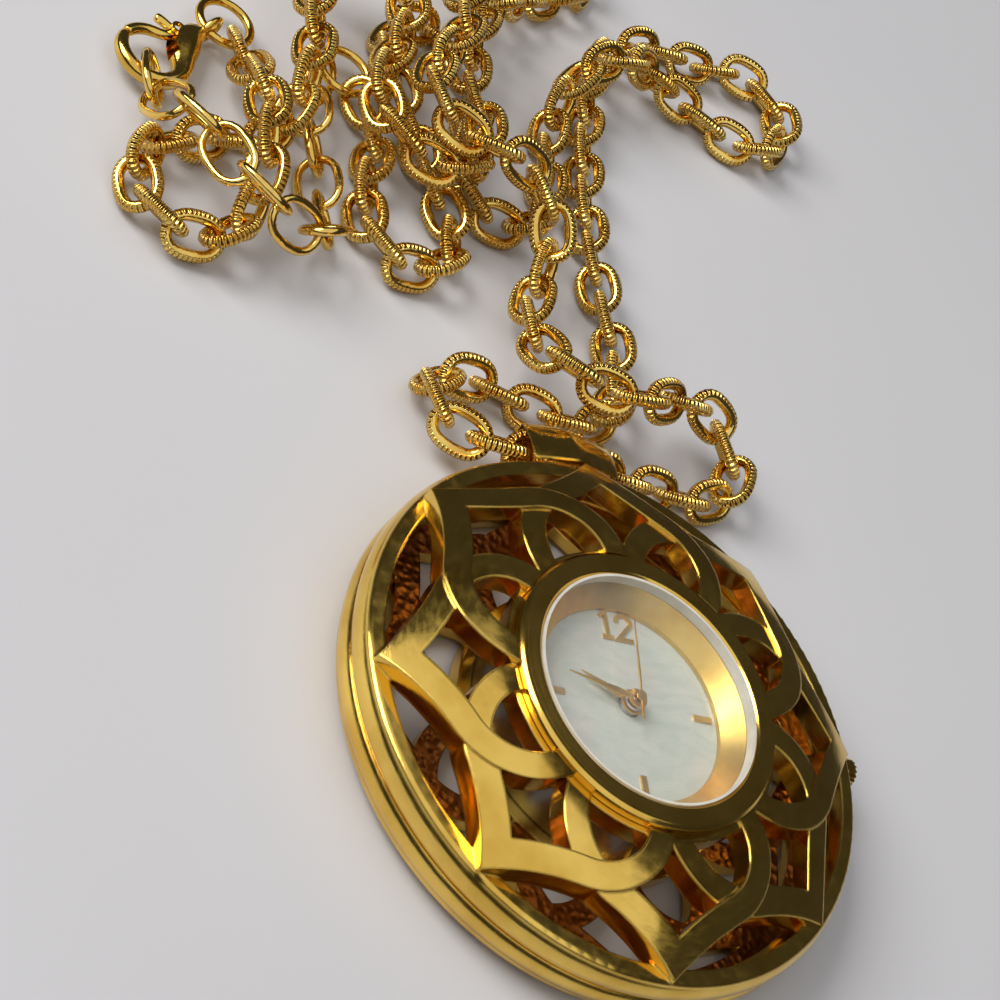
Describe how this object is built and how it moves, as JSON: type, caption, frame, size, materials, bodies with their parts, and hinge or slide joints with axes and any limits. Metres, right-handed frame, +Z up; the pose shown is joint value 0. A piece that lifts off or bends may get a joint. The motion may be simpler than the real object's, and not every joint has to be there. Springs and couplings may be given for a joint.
{
  "type": "pendant watch",
  "caption": "Round pierced pendant watch with a quartz movement, a gabled bail and a knurled cable chain with extender and lobster clasp.",
  "frame": {"origin": "centre of the flat case back, which rests on the table", "axes": "+Z up out of the dial, +Y to 12 o'clock and the bail, +X to 3 o'clock and the crown"},
  "size_m": [0.0759, 0.1155, 0.0117],
  "materials": {
    "gold_plated_chain": "bright yellow gold plating, links knurled across the wire",
    "gold_plated_case": "mirror polished yellow gold plating, pebbled inside",
    "gold_plated_clasp": "polished yellow gold plating",
    "steel": "turned steel",
    "mineral_glass": "clear polished",
    "pale_gasket": "satin",
    "pearl_dial": "mother of pearl",
    "gilt": "polished gilt",
    "movement_brass": "fine machined",
    "white_plastic": "moulded",
    "soft_iron": "stamped",
    "copper_winding": "enamelled copper wire",
    "nickel_steel": "satin nickel",
    "board_green": "lacquered board",
    "chip_black": "matt epoxy"
  },
  "bodies": {
    "watch_and_chain": {"back_cover": "gold_plated_case", "bail": "gold_plated_case", "battery": "nickel_steel", "battery_clamp": "nickel_steel", "bezel": "gold_plated_case", "case_back": "steel", "case_back_gasket": "pale_gasket", "centre_case": "steel", "chain_bail_run": "gold_plated_chain", "chain_far_loop": "gold_plated_chain", "chain_left_strand": "gold_plated_chain", "chain_pile_low": "gold_plated_chain", "chain_pile_middle": "gold_plated_chain", "chain_pile_top": "gold_plated_chain", "chain_right_loop": "gold_plated_chain", "chain_right_strand": "gold_plated_chain", "chain_side_pile": "gold_plated_chain", "chip": "chip_black", "circuit_board": "board_green", "clasp_body": "gold_plated_clasp", "clasp_rivet": "gold_plated_clasp", "clasp_spring": "gold_plated_clasp", "coil": "copper_winding", "coil_core": "soft_iron", "crown_tube": "steel", "crystal": "mineral_glass", "crystal_gasket": "pale_gasket", "dial": "pearl_dial", "dial_bars": "gilt", "dial_numeral": "gilt", "dial_ring": "gilt", "extender_chain": "gold_plated_chain", "front_cover": "gold_plated_case", "jump_rings": "gold_plated_chain", "main_plate": "movement_brass", "movement_holder": "white_plastic", "movement_screws": "steel", "quartz_can": "steel", "stator": "soft_iron", "train_bridge": "movement_brass"},
    "minutes": {"minute_hand": "gilt", "cannon_pinion": "movement_brass"},
    "hours": {"hour_hand": "gilt", "hour_wheel": "white_plastic"},
    "motion_work": {"minute_wheel": "white_plastic"},
    "seconds": {"second_hand": "gilt", "seconds_wheel": "movement_brass"},
    "third": {"third_wheel": "movement_brass"},
    "centre": {"centre_wheel": "movement_brass"},
    "intermediate": {"step_wheel": "white_plastic"},
    "motor_rotor": {"rotor": "soft_iron"},
    "yoke": {"setting_yoke": "steel"},
    "crown_and_stem": {"crown": "gold_plated_case", "stem": "steel"},
    "lever": {"clasp_lever": "gold_plated_clasp"}
  },
  "joints": [
    {"name": "minute_turn", "type": "hinge", "parent": "watch_and_chain", "child": "minutes", "pos_m": [0, 0, 0], "axis": [0, 0, 1], "continuous": true},
    {"name": "hour_turn", "type": "hinge", "parent": "watch_and_chain", "child": "hours", "pos_m": [0, 0, 0], "axis": [0, 0, 1], "continuous": true},
    {"name": "motion_turn", "type": "hinge", "parent": "watch_and_chain", "child": "motion_work", "pos_m": [-0.00103, 0.00282, 0], "axis": [0, 0, 1], "continuous": true},
    {"name": "second_turn", "type": "hinge", "parent": "watch_and_chain", "child": "seconds", "pos_m": [0, 0, 0], "axis": [0, 0, 1], "continuous": true},
    {"name": "third_turn", "type": "hinge", "parent": "watch_and_chain", "child": "third", "pos_m": [0.00153, 0.00265, 0], "axis": [0, 0, 1], "continuous": true},
    {"name": "centre_turn", "type": "hinge", "parent": "watch_and_chain", "child": "centre", "pos_m": [0, 0, 0], "axis": [0, 0, 1], "continuous": true},
    {"name": "intermediate_turn", "type": "hinge", "parent": "watch_and_chain", "child": "intermediate", "pos_m": [-0.00259, -0.00094, 0], "axis": [0, 0, 1], "continuous": true},
    {"name": "rotor_turn", "type": "hinge", "parent": "watch_and_chain", "child": "motor_rotor", "pos_m": [-0.00466, -0.00239, 0], "axis": [0, 0, 1], "continuous": true},
    {"name": "crown_pull", "type": "slide", "parent": "watch_and_chain", "child": "yoke", "axis": [1, 0, 0], "range_m": [0, 0.0009]},
    {"name": "crown_turn", "type": "hinge", "parent": "yoke", "child": "crown_and_stem", "pos_m": [0, 0, 0.0036], "axis": [1, 0, 0], "continuous": true},
    {"name": "lever_open", "type": "hinge", "parent": "watch_and_chain", "child": "lever", "pos_m": [-0.031, 0.06032, 0], "axis": [0, 0, 1], "range_deg": [0, 22], "stiffness_Nm_per_rad": 0.002}
  ],
  "couplings": [
    {"joint": "hour_turn", "follows": "minute_turn", "ratio": 0.083333},
    {"joint": "motion_turn", "follows": "minute_turn", "ratio": -0.33333},
    {"joint": "third_turn", "follows": "second_turn", "ratio": -0.125},
    {"joint": "centre_turn", "follows": "second_turn", "ratio": 0.016667},
    {"joint": "intermediate_turn", "follows": "second_turn", "ratio": -5},
    {"joint": "rotor_turn", "follows": "second_turn", "ratio": 30}
  ]
}
